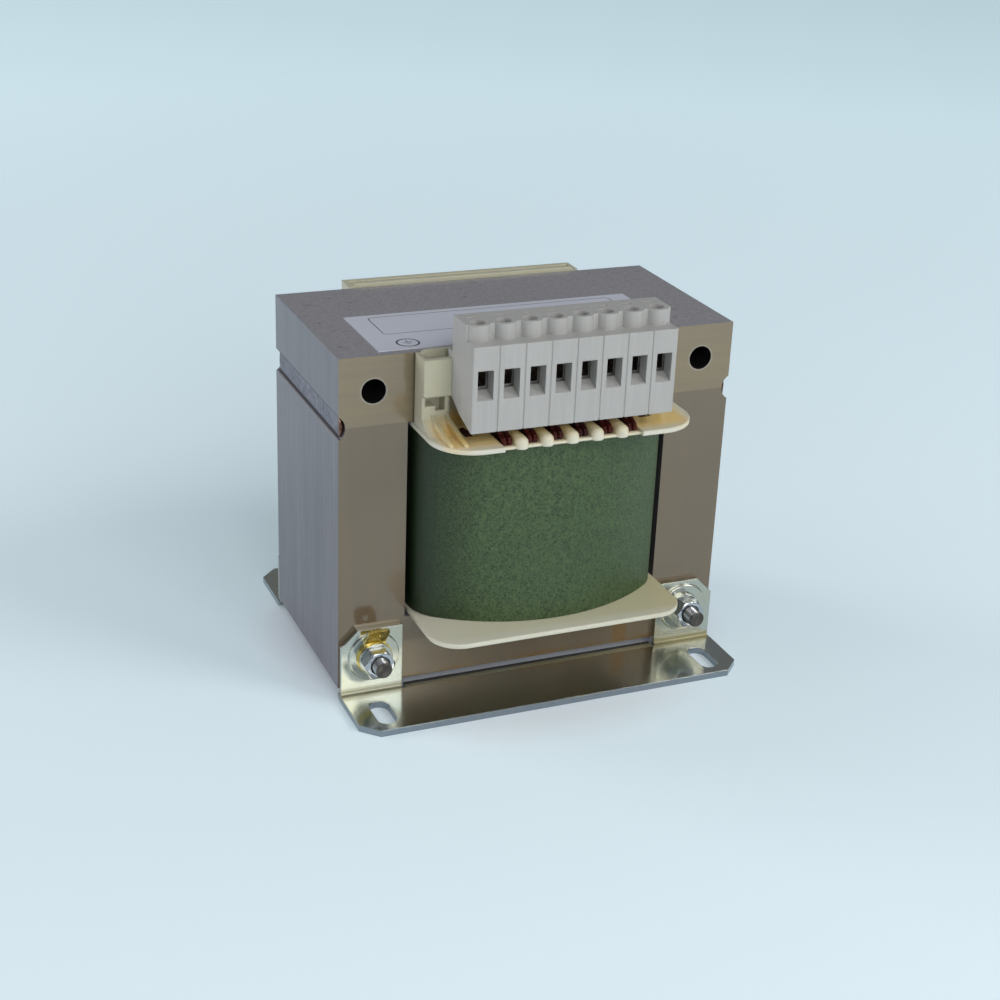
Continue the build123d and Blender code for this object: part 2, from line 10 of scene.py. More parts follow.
import bmesh
import bpy
import numpy as np
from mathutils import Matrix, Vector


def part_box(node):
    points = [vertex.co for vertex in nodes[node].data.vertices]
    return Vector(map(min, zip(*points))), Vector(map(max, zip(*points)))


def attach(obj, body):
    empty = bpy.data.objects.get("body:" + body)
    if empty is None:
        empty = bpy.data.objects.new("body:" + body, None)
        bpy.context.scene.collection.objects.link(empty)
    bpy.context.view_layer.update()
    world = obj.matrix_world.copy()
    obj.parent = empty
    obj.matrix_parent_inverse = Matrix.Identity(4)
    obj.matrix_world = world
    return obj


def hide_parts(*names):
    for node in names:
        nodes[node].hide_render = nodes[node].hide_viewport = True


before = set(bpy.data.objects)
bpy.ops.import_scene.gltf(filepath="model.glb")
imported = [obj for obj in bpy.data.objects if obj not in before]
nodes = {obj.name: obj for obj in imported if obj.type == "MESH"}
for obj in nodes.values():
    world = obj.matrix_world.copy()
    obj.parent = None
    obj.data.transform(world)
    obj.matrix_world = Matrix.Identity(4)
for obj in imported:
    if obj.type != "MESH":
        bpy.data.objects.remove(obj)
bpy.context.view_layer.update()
MM = 0.001
print("nodes in the frame:", len(nodes))

# %% [markdown]
# ## Camera
# The photograph was taken from the left, from above, with a long lens. A camera is placed by
# three directions: where it looks back from, its right and its up. Turning right and up by the
# roll angle tilts the picture the way a hand-held camera does.

# %% Camera at the photograph's angle
TURN, RAISE, ROLL = map(math.radians, (-23.392, 23.446, 2.353))
LOOK_AT = np.array([-11.544, -30.5, 56.408]) * MM
DISTANCE = 507.563 * MM
LENS, SENSOR = 63.782, 36.0

back = np.array([
    math.sin(TURN) * math.cos(RAISE), -math.cos(TURN) * math.cos(RAISE), math.sin(RAISE)
])
level_right = np.array([math.cos(TURN), math.sin(TURN), 0.0])
level_up = np.cross(back, level_right)
right = level_right * math.cos(ROLL) + level_up * math.sin(ROLL)
up = level_up * math.cos(ROLL) - level_right * math.sin(ROLL)

camera_data = bpy.data.cameras.new("photo_camera")
camera_data.lens, camera_data.sensor_width = LENS, SENSOR
camera_data.clip_start, camera_data.clip_end = 0.01, 20.0
camera = bpy.data.objects.new("photo_camera", camera_data)
bpy.context.scene.collection.objects.link(camera)
pose = np.eye(4)
pose[:3, 0], pose[:3, 1], pose[:3, 2] = right, up, back
pose[:3, 3] = LOOK_AT + DISTANCE * back
camera.matrix_world = pose.T.tolist()
bpy.context.scene.camera = camera
print("camera stands at", np.round(pose[:3, 3], 3))

# %% [markdown]
# ## A board for drawing materials
# Every finish below is a small graph of nodes. Writing each link out by hand hides the idea, so
# one helper class gives short names to the few steps used again and again: noise, colour ramp,
# mix, arithmetic, and bump. All patterns read Object coordinates, in metres, so a scale of 500
# means features of about two millimetres.

# %% Material helper


def srgb(red, green, blue):
    """Colour as a screen shows it, 0 to 255, turned into linear light for the shader."""
    levels = np.array([red, green, blue]) / 255
    return tuple(np.where(levels > 0.04045, ((levels + 0.055) / 1.055) ** 2.4, levels / 12.92)) + (1.0,)


class Finish:
    """One material under construction; each method adds a node and gives back its output."""

    def __init__(self, name, roughness=0.5, metallic=0.0, ior=1.5, coat=0.0, coat_roughness=0.1):
        self.material = bpy.data.materials.new(name)
        self.material.use_nodes = True
        self.tree = self.material.node_tree
        self.shader = self.tree.nodes["Principled BSDF"]
        self.set("Roughness", roughness)
        self.set("Metallic", metallic)
        self.set("IOR", ior)
        self.set("Coat Weight", coat)
        self.set("Coat Roughness", coat_roughness)
        self.place = self.tree.nodes.new("ShaderNodeTexCoord")
        self.at = self.place.outputs["Object"]
        self.parts = {}

    def set(self, socket, value):
        """Number, colour or link into one of the shader's sockets."""
        self.feed(value, self.shader.inputs[socket])

    def feed(self, value, socket):
        """Link where the value is an output, plain setting where it is a number or colour."""
        if isinstance(value, bpy.types.NodeSocket):
            self.tree.links.new(value, socket)
        else:
            socket.default_value = value

    def stretch(self, x, y, z):
        """Object coordinates scaled by a factor a side: a large one gives fine grain that way."""
        node = self.tree.nodes.new("ShaderNodeMapping")
        node.inputs["Scale"].default_value = (x, y, z)
        self.feed(self.at, node.inputs["Vector"])
        return node.outputs["Vector"]

    def noise(self, scale, detail=3.0, roughness=0.55, at=None):
        """Smooth random value, 0 to 1."""
        node = self.tree.nodes.new("ShaderNodeTexNoise")
        node.inputs["Scale"].default_value = scale
        node.inputs["Detail"].default_value = detail
        node.inputs["Roughness"].default_value = roughness
        self.feed(at or self.at, node.inputs["Vector"])
        return node.outputs["Fac"]

    def cells(self, scale):
        """Distance to the nearest of many scattered points."""
        node = self.tree.nodes.new("ShaderNodeTexVoronoi")
        node.inputs["Scale"].default_value = scale
        self.feed(self.at, node.inputs["Vector"])
        return node.outputs["Distance"]

    def calc(self, kind, first, second=0.0, third=0.0):
        """One step of arithmetic on numbers or outputs."""
        node = self.tree.nodes.new("ShaderNodeMath")
        node.operation = kind
        for value, socket in zip((first, second, third), node.inputs):
            self.feed(value, socket)
        return node.outputs[0]

    def ramp(self, value, low, high, out_low=0.0, out_high=1.0):
        """Value carried from the range low..high to the range out_low..out_high, and clamped."""
        node = self.tree.nodes.new("ShaderNodeMapRange")
        limits = {"From Min": low, "From Max": high, "To Min": out_low, "To Max": out_high}
        for socket, number in limits.items():
            node.inputs[socket].default_value = number
        self.feed(value, node.inputs["Value"])
        return node.outputs["Result"]

    def mix(self, share, first, second):
        """Blend of two colours; share 0 gives the first, 1 the second. The node has a pair of inputs
        and an output for each kind of value; for colours they are inputs 6 and 7 and output 2."""
        node = self.tree.nodes.new("ShaderNodeMix")
        node.data_type = "RGBA"
        self.feed(share, node.inputs["Factor"])
        self.feed(first, node.inputs[6])
        self.feed(second, node.inputs[7])
        return node.outputs[2]

    def along(self, axis, source="Object"):
        """One coordinate of the place, or of the surface's own direction with source Normal."""
        if source not in self.parts:
            node = self.tree.nodes.new("ShaderNodeSeparateXYZ")
            self.feed(self.place.outputs[source], node.inputs[0])
            self.parts[source] = node
        return self.parts[source].outputs[axis]

    def faces(self, axis):
        """1 where the surface looks along the axis, either way, and 0 elsewhere."""
        return self.calc("GREATER_THAN", self.calc("ABSOLUTE", self.along(axis, "Normal")), 0.7)

    def near(self, axis, middle, reach, soft):
        """1 within reach of a level on an axis, fading to 0 over the soft distance, all in mm."""
        away = self.calc("ABSOLUTE", self.calc("SUBTRACT", self.along(axis), middle * MM))
        return self.ramp(away, (reach + soft) * MM, reach * MM)

    def bump(self, height, distance, strength=1.0, normal=None):
        """Surface direction tilted by a height pattern; distance is the height of a 1, in metres."""
        node = self.tree.nodes.new("ShaderNodeBump")
        node.inputs["Distance"].default_value = distance
        node.inputs["Strength"].default_value = strength
        self.feed(height, node.inputs["Height"])
        if normal:
            self.feed(normal, node.inputs["Normal"])
        return node.outputs["Normal"]

    def soft_edges(self, radius):
        """Surface direction with the sharp edges rounded to a radius, for the shading alone."""
        node = self.tree.nodes.new("ShaderNodeBevel")
        node.samples = 4
        node.inputs["Radius"].default_value = radius
        return node.outputs["Normal"]


# %% Measures and dressing


def offset(finish, axis, middle):
    """Distance from a level on an axis, which is given in mm."""
    return finish.calc("ABSOLUTE", finish.calc("SUBTRACT", finish.along(axis), middle * MM))


def root_of_squares(finish, first, second):
    """Length of a vector with the two sides given."""
    squares = finish.calc("ADD", finish.calc("POWER", first, 2), finish.calc("POWER", second, 2))
    return finish.calc("SQRT", squares)


def band(finish, value, level, half):
    """1 where a value is within half of a level; both are in mm."""
    away = finish.calc("ABSOLUTE", finish.calc("SUBTRACT", value, level * MM))
    return finish.calc("LESS_THAN", away, half * MM)


def dress(piece, finish):
    """Puts a finish on every material slot of a piece, or of a CAD node given by name."""
    mesh = nodes[piece].data if isinstance(piece, str) else piece.data
    mesh.materials.clear()
    mesh.materials.append(finish.material)
    print(finish.material.name, "on", piece if isinstance(piece, str) else piece.name)


# %% [markdown]
# ## Core sheets
# The core is a stack of half-millimetre electrical steel sheets, dipped in varnish. The punched
# faces at the front and rear show one flat sheet with a warm, tan film. The sides and the top
# show the cut edges: a cool violet-grey with fine lines, one a sheet, and shallow rust-dark pits.
# One material tells the two apart by the direction that the surface faces. The varnish is a thin
# clear coat with a sharp gloss, so the sheets mirror the earth tab and the feet.

# %% Flat sheets at the front and rear
YOKE_FROM = 83.5
sheet_steel = Finish("varnished_core_sheets", metallic=0.3, coat=0.6, coat_roughness=0.03)
front_face = sheet_steel.faces("Y")
upper_yoke = sheet_steel.ramp(sheet_steel.along("Z"), (YOKE_FROM - 0.1) * MM, (YOKE_FROM + 0.1) * MM)
cloud = sheet_steel.noise(22, 4)
roll_marks = sheet_steel.noise(1.0, 3, at=sheet_steel.stretch(420, 420, 14))
yoke_marks = sheet_steel.noise(1.0, 3, at=sheet_steel.stretch(12, 420, 420))
leg_colour = sheet_steel.mix(cloud, srgb(117, 102, 81), srgb(128, 113, 92))
yoke_colour = sheet_steel.mix(cloud, srgb(137, 121, 94), srgb(149, 133, 105))
flat_colour = sheet_steel.mix(upper_yoke, leg_colour, yoke_colour)
flat_marks = sheet_steel.mix(upper_yoke, roll_marks, yoke_marks)
flat_colour = sheet_steel.mix(
    sheet_steel.ramp(flat_marks, 0.3, 0.75, 0.0, 0.3), flat_colour, srgb(104, 100, 95)
)

# %% Cut edges at the sides and on top
edge_lines = sheet_steel.noise(1.0, 2, 0.7, at=sheet_steel.stretch(18, 1900, 18))
edge_bands = sheet_steel.noise(1.0, 3, 0.5, at=sheet_steel.stretch(8, 160, 8))
edge_colour = sheet_steel.mix(
    sheet_steel.ramp(edge_bands, 0.3, 0.7), srgb(99, 94, 102), srgb(119, 113, 122)
)
edge_colour = sheet_steel.mix(
    sheet_steel.ramp(edge_lines, 0.35, 0.7, 0.0, 0.55), edge_colour, srgb(76, 74, 82)
)
pits = sheet_steel.ramp(sheet_steel.noise(260, 4, 0.7), 0.62, 0.72)
edge_colour = sheet_steel.mix(sheet_steel.calc("MULTIPLY", pits, 0.55), edge_colour, srgb(78, 76, 80))
top_face = sheet_steel.faces("Z")
mottle = sheet_steel.noise(900, 4, 0.8)
top_colour = sheet_steel.mix(sheet_steel.ramp(mottle, 0.3, 0.7), srgb(142, 139, 143), srgb(176, 172, 176))
top_colour = sheet_steel.mix(sheet_steel.calc("MULTIPLY", pits, 0.6), top_colour, srgb(72, 70, 74))
cut_colour = sheet_steel.mix(top_face, edge_colour, top_colour)

# %% [markdown]
# ## Marks on the core
# A dark line is painted along both lips of each weld notch: painted shade in the creases where
# the bead meets the core. The punched holes have a bright rim and a bore painted near black, a
# painted shade inside the hole. Below the coil, varnish has run down in a strap and has dried
# brown along the lowest edge. Each mark is a band at a known level, laid over the colours found
# so far.

# %% Weld lines, hole rims and varnish runs
LIP_LOW, LIP_HIGH = (corner.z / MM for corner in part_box("weld_left"))
NOTCH_HALF = 3.46
NOTCH_TOP = (LIP_LOW + LIP_HIGH) / 2 + NOTCH_HALF
# Painted shade: a dark line along both lips of each weld notch, in the creases beside the bead.
painted_lip_shade = sheet_steel.calc(
    "MAXIMUM",
    sheet_steel.near("Z", LIP_LOW - 0.08, 0.1, 0.12),
    sheet_steel.near("Z", NOTCH_TOP, 0.22, 0.2),
)
cut_colour = sheet_steel.mix(sheet_steel.calc("MULTIPLY", painted_lip_shade, 0.9), cut_colour, srgb(34, 32, 38))
steel_colour = sheet_steel.mix(front_face, cut_colour, flat_colour)
HOLE_R, HOLE_X, HOLE_Z, RIM_W = 3.5, 50.0, 93.5, 0.55
either_side = sheet_steel.calc("ABSOLUTE", sheet_steel.along("X"))
from_axis_x = sheet_steel.calc("SUBTRACT", either_side, HOLE_X * MM)
from_axis_z = sheet_steel.calc("SUBTRACT", sheet_steel.along("Z"), HOLE_Z * MM)
from_axis = root_of_squares(sheet_steel, from_axis_x, from_axis_z)
rim = sheet_steel.ramp(from_axis, (HOLE_R + RIM_W) * MM, (HOLE_R + RIM_W * 0.5) * MM)
steel_colour = sheet_steel.mix(sheet_steel.calc("MULTIPLY", rim, 0.45), steel_colour, srgb(176, 170, 160))
STRAP_X, STRAP_HALF, STRAP_TOP, STRAP_FULL = 29.9, 1.9, 13, 10
LOW_RUN = 3.6
below_coil = sheet_steel.ramp(sheet_steel.along("Z"), STRAP_TOP * MM, STRAP_FULL * MM)
strap = sheet_steel.calc("MULTIPLY", sheet_steel.near("X", STRAP_X, STRAP_HALF, 0.7), below_coil)
broken = sheet_steel.ramp(sheet_steel.noise(60, 3), 0.4, 0.6)
low_line = sheet_steel.calc("MULTIPLY", sheet_steel.near("Z", LOW_RUN, 0.5, 1.4), broken)
run_mark = sheet_steel.calc("MULTIPLY", sheet_steel.calc("MAXIMUM", strap, low_line), front_face)
steel_colour = sheet_steel.mix(sheet_steel.calc("MULTIPLY", run_mark, 0.6), steel_colour, srgb(132, 96, 44))

# %% Gloss and relief of the sheets
# The bore of each punched hole is painted near black: painted shade inside the hole.
bore = sheet_steel.calc("LESS_THAN", from_axis, (HOLE_R + 0.02) * MM)
sheet_steel.set("Base Color", sheet_steel.mix(bore, steel_colour, srgb(30, 29, 30)))
sheet_steel.set("Roughness", sheet_steel.calc(
    "MULTIPLY_ADD", front_face, -0.36, sheet_steel.ramp(cloud, 0.3, 0.7, 0.5, 0.6)
))
edge_height = sheet_steel.calc("MULTIPLY", edge_lines, sheet_steel.calc("SUBTRACT", 1.0, front_face))
edge_height = sheet_steel.calc("MULTIPLY_ADD", sheet_steel.noise(500, 3), 0.12, edge_height)
sheet_steel.set("Normal", sheet_steel.bump(edge_height, 0.00008, 0.6, sheet_steel.soft_edges(0.00015)))
for name in ("e_lamination_stack", "i_lamination_stack"):
    dress(name, sheet_steel)

# %% [markdown]
# ## Nylon former
# The coil former is cream nylon. Varnish has pooled on its upper flange, between the ribs and
# under the terminals, and dried yellow-brown there, while the lower flange stayed paler with a
# yellow tint next to the coil. Nylon lets a little light in, which a small subsurface share gives.

# %% Nylon with pooled varnish
LOWER_FLANGE, UPPER_FLANGE, FLANGE_HALF = 25.5, 83.4, 40
POOL_RIM_X, POOL_FULL_X, POOL_RIM_Y, POOL_FULL_Y = 38, 34.5, 55.5, 50.5
TINT_RIM_Y, COIL_FRONT_Y = -54.5, -51
RAIL_LOW, RAIL_FULL = 82.5, 86
nylon = Finish("cream_nylon", coat=0.2, coat_roughness=0.18)
patch = nylon.noise(95, 4)
pool_height = nylon.near("Z", UPPER_FLANGE, 0.9, 3.2)
pool_side = nylon.ramp(nylon.calc("ABSOLUTE", nylon.along("Y")), POOL_RIM_Y * MM, POOL_FULL_Y * MM)
pool_reach = nylon.ramp(nylon.calc("ABSOLUTE", nylon.along("X")), POOL_RIM_X * MM, POOL_FULL_X * MM)
pool = nylon.calc("MULTIPLY", nylon.calc("MULTIPLY", pool_height, pool_side), pool_reach)
pool = nylon.calc("MULTIPLY", pool, nylon.ramp(patch, 0.2, 0.6, 0.5, 1.0))
by_coil = nylon.ramp(nylon.along("Y"), TINT_RIM_Y * MM, COIL_FRONT_Y * MM)
by_coil = nylon.calc("MAXIMUM", by_coil, 0.3)
to_right = nylon.ramp(nylon.along("X"), -FLANGE_HALF * MM, FLANGE_HALF * MM, 0.25, 1.0)
low_tint = nylon.calc("MULTIPLY", by_coil, to_right)
low_tint = nylon.calc("MULTIPLY", nylon.near("Z", LOWER_FLANGE, 1.2, 0.6), low_tint)
clean = nylon.mix(nylon.noise(40, 3), srgb(222, 219, 200), srgb(232, 230, 216))
rail_tint = nylon.ramp(nylon.along("Z"), RAIL_LOW * MM, RAIL_FULL * MM)
clean = nylon.mix(nylon.calc("MULTIPLY", rail_tint, 0.65), clean, srgb(188, 184, 152))
tinted = nylon.mix(nylon.calc("MULTIPLY", low_tint, 0.6), clean, srgb(204, 194, 132))
nylon.set("Base Color", nylon.mix(nylon.calc("MULTIPLY", pool, 0.8), tinted, srgb(255, 216, 118)))
nylon.set("Roughness", nylon.ramp(pool, 0, 1, 0.42, 0.16))
nylon.set("Subsurface Weight", 0.12)
nylon.set("Subsurface Radius", (0.8, 0.6, 0.3))
nylon.set("Subsurface Scale", 0.002)
nylon.set("Normal", nylon.bump(nylon.noise(900, 3), 0.00005, 0.35, nylon.soft_edges(0.0007)))
dress("bobbin", nylon)

# %% [markdown]
# ## Green wrapper
# The coil is closed by a wrapper of green speckled insulating board with a satin sheen. The
# speckle is felted fibre: fine grains in three sizes, and a few dark specks. Its left end is
# painted darker: painted shade where the core's left leg keeps the light off the coil.

# %% Speckled green board
SHADE_FROM, SHADE_FULL = -22, -37
board = Finish("green_wrapper", coat=0.04, coat_roughness=0.3)
grain = board.noise(1500, 4, 0.75)
fibre = board.noise(1.0, 4, 0.7, at=board.stretch(900, 900, 420))
green = board.mix(board.ramp(grain, 0.36, 0.64), srgb(14, 34, 8), srgb(82, 106, 62))
green = board.mix(board.ramp(fibre, 0.45, 0.75, 0.0, 0.5), green, srgb(92, 114, 74))
green = board.mix(board.ramp(board.noise(18, 3), 0.35, 0.7, 0.0, 0.35), green, srgb(50, 70, 42))
specks = board.calc("LESS_THAN", board.cells(210), 0.09)
green = board.mix(board.calc("MULTIPLY", specks, 0.45), green, srgb(44, 58, 42))
# Painted shade: the wrapper is darkened towards its left end.
corner = board.ramp(board.along("X"), SHADE_FROM * MM, SHADE_FULL * MM)
green = board.mix(board.calc("MULTIPLY", corner, 0.9), green, srgb(10, 30, 0))
board.set("Base Color", green)
board.set("Roughness", board.ramp(fibre, 0.3, 0.7, 0.4, 0.58))
board.set("Normal", board.bump(board.calc("ADD", grain, fibre), 0.00006, 0.5))
dress("outer_wrap", board)

# %% [markdown]
# ## Terminal plastic
# The eight clamp modules are off-white plastic, moulded with a very fine vertical drag on their
# faces. Their edges catch the light because every moulded edge is a little round.

# %% Terminal plastic
plastic = Finish("terminal_plastic", roughness=0.38)
drag = plastic.noise(1.0, 3, 0.6, at=plastic.stretch(1400, 1400, 60))
white = plastic.mix(plastic.noise(60, 3), srgb(178, 177, 173), srgb(188, 187, 183))
plastic.set("Base Color", plastic.mix(plastic.ramp(drag, 0.4, 0.8, 0.0, 0.35), white, srgb(160, 159, 157)))
plastic.set("Subsurface Weight", 0.06)
plastic.set("Subsurface Scale", 0.0012)
plastic.set("Normal", plastic.bump(drag, 0.00003, 0.4, plastic.soft_edges(0.00022)))
for number in range(1, 9):
    dress(f"terminal_housing_{number}", plastic)

# %% [markdown]
# ## Zinc-plated feet
# The feet are bright zinc-plated sheet with a thin passivation film: nearly a mirror on the flat
# strip, a little cloudy on the tabs, with faint blue and yellow shifts. Varnish that ran down
# the core dried yellow along the bend.

# %% Zinc plating
zinc = Finish("zinc_plating", metallic=1.0)
film = zinc.noise(34, 4)
spangle = zinc.noise(420, 4, 0.7)
bright = zinc.mix(zinc.ramp(film, 0.35, 0.65), srgb(192, 197, 192), srgb(194, 193, 176))
bright = zinc.mix(zinc.ramp(spangle, 0.5, 0.8, 0.0, 0.3), bright, srgb(190, 198, 206))
BEND_Y, BEND_Z, CORE_HALF = -32.9, 2.5, 60
more_at_right = zinc.ramp(zinc.along("X"), -CORE_HALF * MM, CORE_HALF * MM, 0.5, 0.95)
run_down = zinc.calc("MULTIPLY", zinc.near("Y", BEND_Y, 0.5, 0.8), more_at_right)
run_down = zinc.calc("MULTIPLY", zinc.near("Z", BEND_Z, 0.5, 1.3), run_down)

# %% Cut edges and gloss of the zinc
upright = zinc.calc("LESS_THAN", zinc.calc("ABSOLUTE", zinc.along("Z", "Normal")), 0.6)
cut_edge = zinc.calc("MULTIPLY", zinc.ramp(zinc.along("Z"), 2.1 * MM, 1.8 * MM), upright)
bright = zinc.mix(zinc.calc("MULTIPLY", cut_edge, 0.85), bright, srgb(138, 146, 156))
zinc.set("Base Color", zinc.mix(zinc.calc("MULTIPLY", run_down, 0.8), bright, srgb(150, 140, 84)))
zinc.set("Metallic", zinc.ramp(run_down, 0, 1, 1.0, 0.35))
gloss = zinc.calc("ADD", zinc.ramp(film, 0.3, 0.7, 0.13, 0.2), zinc.ramp(spangle, 0.4, 0.8, 0.0, 0.05))
zinc.set("Roughness", zinc.calc("MULTIPLY_ADD", run_down, 0.3, gloss))
zinc.set("Normal", zinc.bump(film, 0.00006, 0.15, zinc.soft_edges(0.0004)))
for name in ("front_foot", "rear_foot", "front_washers", "rear_washers"):
    dress(name, zinc)

# %% [markdown]
# ## Bolts, nuts and clamp parts
# Fasteners are plated too, but turned and rolled, so their gloss is tighter. The hollows of the
# bolt threads are painted darker, as painted shade. The clamp cages and screws sit in shade inside
# the modules, and the cages and the bars are painted darker for that shade. The bars are tinned
# copper, and the earth tab is bare brass.

# %% Turned steel, cage steel, contact metal and brass


def metal(name, dark, light, roughness, scale, dent=0.00002):
    """Plain metal with soft clouds between two tones and a fine grain in its gloss."""
    made = Finish(name, metallic=1.0)
    grain = made.noise(scale, 4, 0.65)
    made.set("Base Color", made.mix(made.ramp(grain, 0.3, 0.7), dark, light))
    made.set("Roughness", made.ramp(made.noise(scale * 3, 3), 0.3, 0.7, roughness * 0.75, roughness * 1.3))
    made.set("Normal", made.bump(grain, dent, 0.3, made.soft_edges(0.00015)))
    return made


turned_steel = metal("plated_fasteners", srgb(166, 171, 180), srgb(198, 201, 204), 0.2, 120, 0.00001)
# Cages and contact bars are painted darker than their metals: painted shade deep inside the modules.
clamp_steel = metal("clamp_steel", srgb(84, 82, 80), srgb(140, 136, 130), 0.35, 700)
contact_metal = metal("contact_metal", srgb(92, 80, 66), srgb(150, 134, 110), 0.35, 700)
tab_brass = metal("tab_brass", srgb(206, 176, 84), srgb(242, 218, 134), 0.2, 180, 0.0002)
screw_steel = metal("clamp_screw_steel", srgb(150, 152, 154), srgb(196, 197, 198), 0.3, 400)
for name, finish in (
    ("hex_nuts", turned_steel), ("through_bolts", turned_steel), ("clamp_cages", clamp_steel),
    ("contact_bars", contact_metal), ("clamp_screws", screw_steel), ("earth_tab", tab_brass),
):
    dress(name, finish)

# %% [markdown]
# ## Copper windings and their insulation
# The windings are layers of enamelled wire. In the solid model each is one block, and it shows
# only through the comb slots, as dark red enamel. Rings across the height give the turns.

# %% Enamelled copper and paper
enamel = Finish("enamelled_copper", roughness=0.55)
WIRE = 1.5
turns = enamel.calc("SINE", enamel.calc("MULTIPLY", enamel.along("Z"), 2 * math.pi / (WIRE * MM)))
streaks = enamel.ramp(enamel.noise(150, 3), 0.3, 0.7)
enamel.set("Base Color", enamel.mix(streaks, srgb(50, 9, 6), srgb(84, 18, 10)))
enamel.set("Metallic", 0.3)
enamel.set("Normal", enamel.bump(turns, 0.0004, 0.8))
paper = Finish("insulation_paper", roughness=0.7)
paper.set("Base Color", paper.mix(paper.noise(300, 4), srgb(176, 160, 118), srgb(198, 184, 146)))
paper.set("Normal", paper.bump(paper.noise(1200, 3), 0.00005, 0.5))
dress("common_winding", enamel)
dress("series_winding", enamel)
dress("layer_insulation", paper)

# %% [markdown]
# ## Label
# The label is a white film on the top yoke. It stays unprinted but for a thin frame line and an
# earth sign near its left end, which are drawn by distances in the label's own plane.

# %% Label film
LABEL_LEFT, LABEL_RIGHT = (corner.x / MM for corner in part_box("top_label"))
LABEL_FRONT, LABEL_REAR = (corner.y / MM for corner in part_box("top_label"))
label = Finish("label_film", roughness=0.32, coat=0.2, coat_roughness=0.2)
LINE_W, ROUND = 0.28, 1.4
FRAME_LEFT, FRAME_FRONT, FRAME_REAR = LABEL_LEFT + 6.3, LABEL_FRONT + 13.4, LABEL_REAR - 2.4
SIGN_X, SIGN_Y, SIGN_R = LABEL_LEFT + 10.2, LABEL_FRONT + 5.0, 3.1


def round_frame(finish, left, right, front, rear, radius):
    """Distance outside a box with its corners rounded: sides beyond the inner box, as a length."""
    half_x, half_y = (right - left) / 2 - radius, (rear - front) / 2 - radius
    past_x = finish.calc("SUBTRACT", offset(finish, "X", (left + right) / 2), half_x * MM)
    past_y = finish.calc("SUBTRACT", offset(finish, "Y", (front + rear) / 2), half_y * MM)
    return root_of_squares(finish, finish.calc("MAXIMUM", past_x, 0.0), finish.calc("MAXIMUM", past_y, 0.0))


outline = round_frame(label, FRAME_LEFT, LABEL_RIGHT - 6.3, FRAME_FRONT, FRAME_REAR, ROUND)
ink = band(label, outline, ROUND, LINE_W / 2)
from_sign = root_of_squares(label, offset(label, "X", SIGN_X), offset(label, "Y", SIGN_Y))
ink = label.calc("MAXIMUM", ink, band(label, from_sign, SIGN_R, LINE_W))
bar_x, bar_y = offset(label, "X", SIGN_X), label.along("Y")
for level, half in ((0.4, 1.6), (-0.3, 1.0), (-1.0, 0.45)):
    within = label.calc("LESS_THAN", bar_x, half * MM)
    bar = label.calc("MULTIPLY", band(label, bar_y, SIGN_Y + level, 0.13), within)
    ink = label.calc("MAXIMUM", ink, bar)
within = label.calc("LESS_THAN", bar_x, 0.15 * MM)
stem = label.calc("MULTIPLY", band(label, bar_y, SIGN_Y + 1.2, 0.85), within)
ink = label.calc("MAXIMUM", ink, stem)
label.set("Base Color", label.mix(ink, srgb(212, 215, 226), srgb(40, 42, 54)))
label.set("Normal", label.bump(label.noise(260, 3), 0.00004, 0.3))
dress("top_label", label)

# %% [markdown]
# ## Weld beads
# A weld seam is a row of frozen ripples, one for each pulse of the arc. In numpy the bead is a
# closed loop carried along the notch, and its outer side rises and falls with a sharp wave. The
# seam's ends are brown and glassy, where the metal froze last.

# %% Meshes from rings of points


def mesh_piece(name, points, faces, finish, slot, replaced):
    """Mesh object from finished points and faces, riding on the body in place of the CAD nodes
    named last. The signed volume tells which way its faces look, and they are turned where it is
    negative. Edges over 35 degrees stay crisp, and the rest is shaded smooth."""
    mesh = bpy.data.meshes.new(name)
    mesh.from_pydata(points.tolist(), [], faces)
    mesh.validate()
    solid = bmesh.new()
    solid.from_mesh(mesh)
    inside_out = solid.calc_volume(signed=True) < 0
    solid.free()
    if inside_out:
        mesh.flip_normals()
    mesh.shade_smooth()
    mesh.set_sharp_from_angle(angle=math.radians(35))
    mesh.materials.append(finish.material)
    piece = bpy.data.objects.new(name, mesh)
    bpy.context.scene.collection.objects.link(piece)
    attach(piece, "root")
    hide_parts(*replaced)
    return piece


def loop_faces(rings, around, start=0, closed=False):
    """Faces between rings of points: point j of ring i is number i * around + j. A closed set of
    rings joins its last to its first; an open one gets a flat cap at either end."""
    i, j = np.meshgrid(np.arange(rings if closed else rings - 1), np.arange(around), indexing="ij")
    after, ahead = (j + 1) % around, (i + 1) % rings
    quads = np.stack([i * around + j, i * around + after, ahead * around + after, ahead * around + j], -1)
    faces = (quads.reshape(-1, 4) + start).tolist()
    if not closed:
        faces.append((np.arange(around)[::-1] + start).tolist())
        faces.append((np.arange(around) + (rings - 1) * around + start).tolist())
    return faces


def joined(parts, around, closed=False):
    """Points and faces of several parts as one set, for a piece that is in more than one part."""
    faces, count = [], 0
    for points in parts:
        faces += loop_faces(len(points) // around, around, count, closed)
        count += len(points)
    return np.concatenate(parts), faces


# %% Weld metal
BURNT_FROM, BURNT_FULL = 27.5, 29.4
bead_finish = Finish("weld_bead", metallic=0.85)
from_middle = bead_finish.calc("ABSOLUTE", bead_finish.along("Y"))
heat = bead_finish.ramp(from_middle, BURNT_FROM * MM, BURNT_FULL * MM)
scale = bead_finish.ramp(bead_finish.noise(500, 4), 0.35, 0.65)
steel = bead_finish.mix(scale, srgb(112, 109, 118), srgb(140, 137, 147))
burnt = bead_finish.mix(scale, srgb(74, 42, 30), srgb(150, 112, 92))
